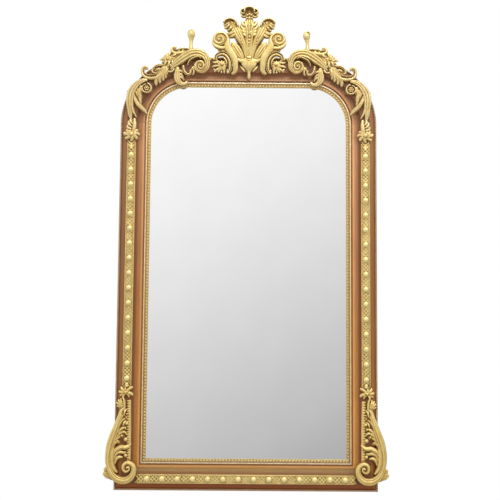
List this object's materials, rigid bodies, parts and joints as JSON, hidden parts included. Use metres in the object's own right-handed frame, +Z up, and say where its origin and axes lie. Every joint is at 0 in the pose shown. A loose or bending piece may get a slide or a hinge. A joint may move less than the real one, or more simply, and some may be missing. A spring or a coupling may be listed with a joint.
{
  "type": "wall mirror",
  "caption": "Tall wall mirror in a brown moulded frame with rounded upper corners, gilded pearl bands, scrolled lower brackets and a pierced carved crest.",
  "frame": {"origin": "midpoint between the entry holes of the two hanger plates, on the wall plane at the back of the frame", "axes": "+Z up along the frame, +X to the viewer's right, -Y out of the wall towards the viewer"},
  "size_m": [1.128, 0.082, 1.947],
  "materials": {
    "walnut": "satin copper-brown walnut stain",
    "slip_gilding": "burnished pale gold leaf",
    "ornament_gilding": "carved wood with gold leaf, rubbed and toned in the recesses",
    "board_gilding": "dull gold paint",
    "silvered_glass": "silvered on the back, polished",
    "backing_pine": "bare aged pine",
    "joinery_pine": "bare pine",
    "hanger_steel": "zinc-plated steel",
    "screw_steel": "zinc-plated steel"
  },
  "bodies": {
    "root": {"stile_left": "walnut", "stile_right": "walnut", "bottom_rail": "walnut", "top_rail": "walnut", "corner_left": "walnut", "corner_right": "walnut", "mitre_keys": "joinery_pine", "corner_dowels": "joinery_pine", "slip_left": "slip_gilding", "slip_right": "slip_gilding", "slip_bottom": "slip_gilding", "slip_top": "slip_gilding", "slip_corner_left": "slip_gilding", "slip_corner_right": "slip_gilding", "pearl_band_left": "ornament_gilding", "pearl_band_right": "ornament_gilding", "pearl_band_bottom": "ornament_gilding", "mirror_glass": "silvered_glass", "backing_board": "backing_pine", "glazing_blocks": "joinery_pine", "backing_screws": "screw_steel", "hanger_plates": "hanger_steel", "hanger_screws": "screw_steel", "crest_board": "board_gilding", "crest_batten": "backing_pine", "crest_screws": "screw_steel", "crest_plume_center": "ornament_gilding", "crest_plume_left": "ornament_gilding", "crest_plume_right": "ornament_gilding", "crest_volute_left": "ornament_gilding", "crest_volute_right": "ornament_gilding", "crest_c_scroll_left": "ornament_gilding", "crest_c_scroll_right": "ornament_gilding", "crest_flower_left": "ornament_gilding", "crest_flower_right": "ornament_gilding", "crest_shield": "ornament_gilding", "crest_drop": "ornament_gilding", "wing_scroll_left": "ornament_gilding", "wing_scroll_right": "ornament_gilding", "wing_finial_left": "ornament_gilding", "wing_finial_right": "ornament_gilding", "wing_leaf_left": "ornament_gilding", "wing_leaf_right": "ornament_gilding", "shoulder_spray_left": "ornament_gilding", "shoulder_spray_right": "ornament_gilding", "corner_leaf_left": "ornament_gilding", "corner_leaf_right": "ornament_gilding", "shoulder_rosettes": "ornament_gilding", "star_flower_left": "ornament_gilding", "star_flower_right": "ornament_gilding", "bracket_scroll_left": "ornament_gilding", "bracket_scroll_right": "ornament_gilding", "bracket_leaves_left": "ornament_gilding", "bracket_leaves_right": "ornament_gilding", "bracket_sprig_left": "ornament_gilding", "bracket_sprig_right": "ornament_gilding", "bracket_strips": "ornament_gilding", "bracket_berries": "ornament_gilding"}
  },
  "joints": []
}
